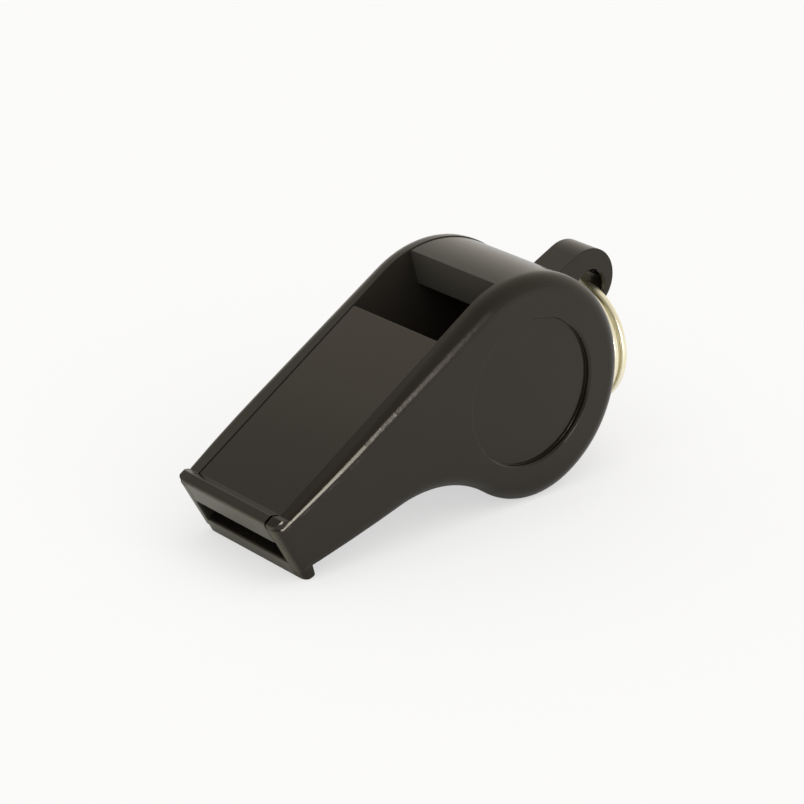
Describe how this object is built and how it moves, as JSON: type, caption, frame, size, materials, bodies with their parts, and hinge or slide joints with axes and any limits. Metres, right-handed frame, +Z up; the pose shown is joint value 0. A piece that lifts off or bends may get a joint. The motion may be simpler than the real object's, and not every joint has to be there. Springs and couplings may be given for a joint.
{
  "type": "pea whistle",
  "caption": "Moulded plastic pea whistle with flat mouthpiece, sound window, round drum, rear lug and a swinging split ring.",
  "frame": {"origin": "on the floor, under the middle of the whistle's overall length and width as it lies on its heel and lower bite lip", "axes": "+X from the mouth towards the lug, +Y across towards the body shell's plate, +Z up"},
  "size_m": [0.0526, 0.0186, 0.0259],
  "materials": {
    "black_abs": "glossy moulded black ABS",
    "cork": "ground natural cork",
    "nickel_wire": "nickel-plated spring steel"
  },
  "bodies": {
    "whistle": {"body_shell": "black_abs", "side_cover": "black_abs", "mouthpiece_roof": "black_abs"},
    "pea": {"pea": "cork"},
    "ring": {"split_ring": "nickel_wire"}
  },
  "joints": [
    {"name": "ring_swing", "type": "hinge", "parent": "whistle", "child": "ring", "pos_m": [0.023, 0, 0.01895], "axis": [0, -1, 0], "range_deg": [-4, 230]},
    {"name": "pea_orbit", "type": "hinge", "parent": "whistle", "child": "pea", "pos_m": [0.00794, 0, 0.01283], "axis": [0, 1, 0], "continuous": true}
  ]
}
